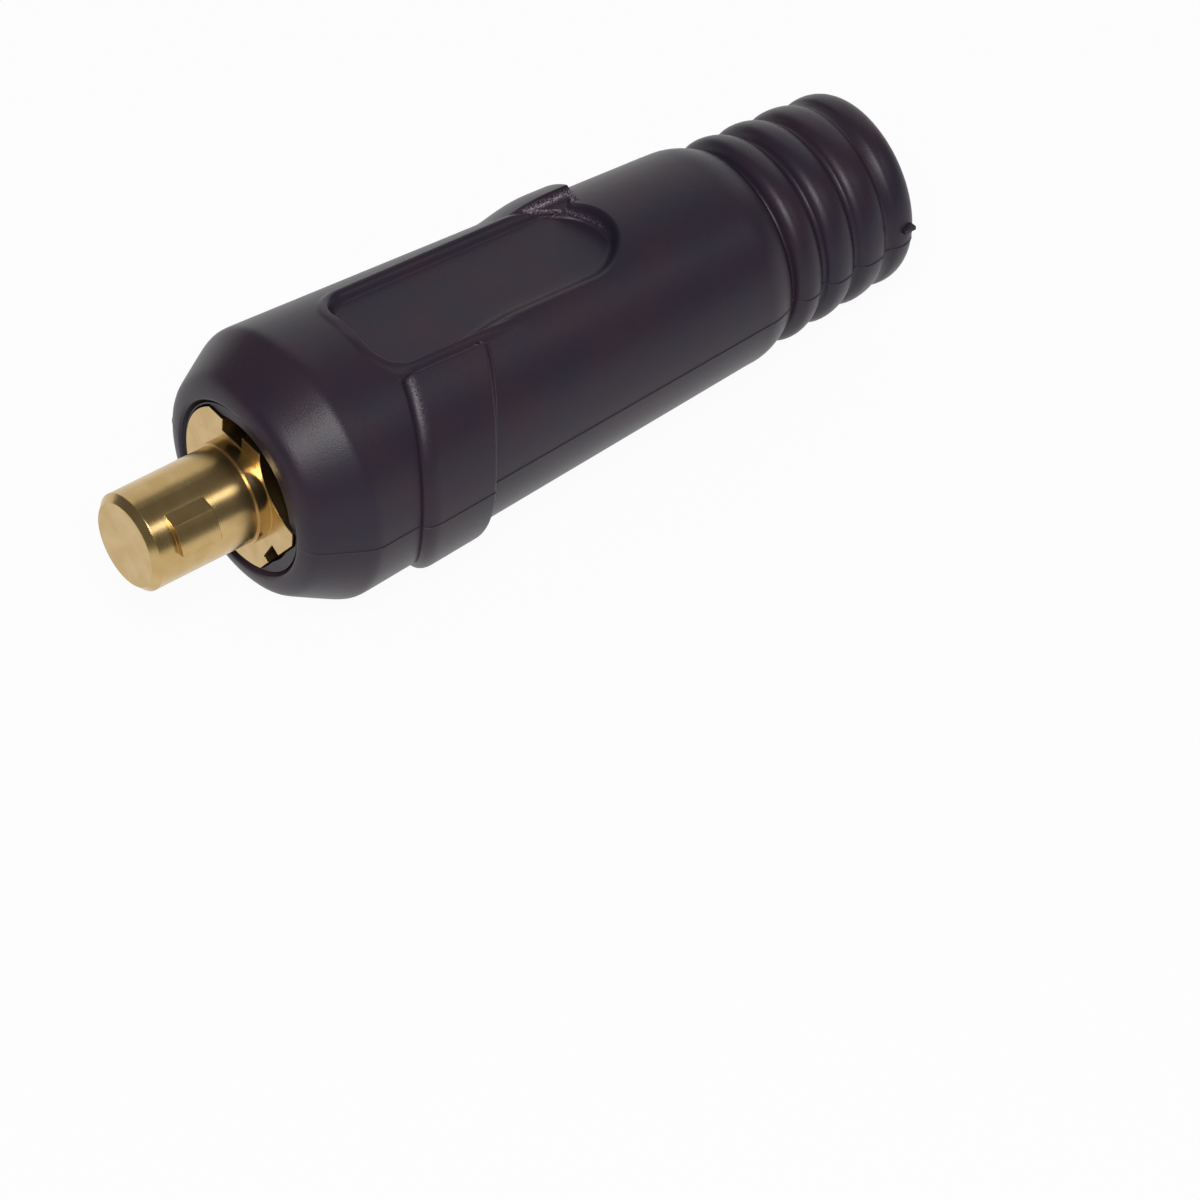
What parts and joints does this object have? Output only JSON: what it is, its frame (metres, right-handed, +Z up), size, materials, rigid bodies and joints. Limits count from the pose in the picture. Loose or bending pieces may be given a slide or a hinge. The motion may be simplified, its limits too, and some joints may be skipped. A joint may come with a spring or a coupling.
{
  "type": "welding cable plug",
  "caption": "Bayonet welding cable plug: brass pin and barrel with two clamp screws inside a tapered rubber boot with a bellows end.",
  "frame": {"origin": "centre of the bounding box's base, on the surface that the plug lies on", "axes": "+X from the pin's tip towards the cable end, +Z up through the upper thumb pad, the plug's own axis tipped by its rest slope"},
  "size_m": [0.1162, 0.0376, 0.0367],
  "materials": {
    "brass": "turned brass with fine lathe lines, milled lug and scallop",
    "screw_steel": "plain machined steel",
    "boot_rubber": "satin moulded rubber, charcoal with a slight warm tinge"
  },
  "bodies": {
    "plug": {"plug_body": "brass"},
    "boot": {"rubber_boot": "boot_rubber"},
    "front_screw": {"front_clamp_screw": "screw_steel"},
    "rear_screw": {"rear_clamp_screw": "screw_steel"}
  },
  "joints": [
    {"name": "boot_slide", "type": "slide", "parent": "plug", "child": "boot", "axis": [0.9985, 0, -0.0553], "range_m": [0, 0.048]},
    {"name": "front_screw_travel", "type": "slide", "parent": "plug", "child": "front_screw", "axis": [-0.0553, 0, -0.9985], "range_m": [0, 0.003]},
    {"name": "rear_screw_travel", "type": "slide", "parent": "plug", "child": "rear_screw", "axis": [-0.0553, 0, -0.9985], "range_m": [0, 0.003]}
  ]
}
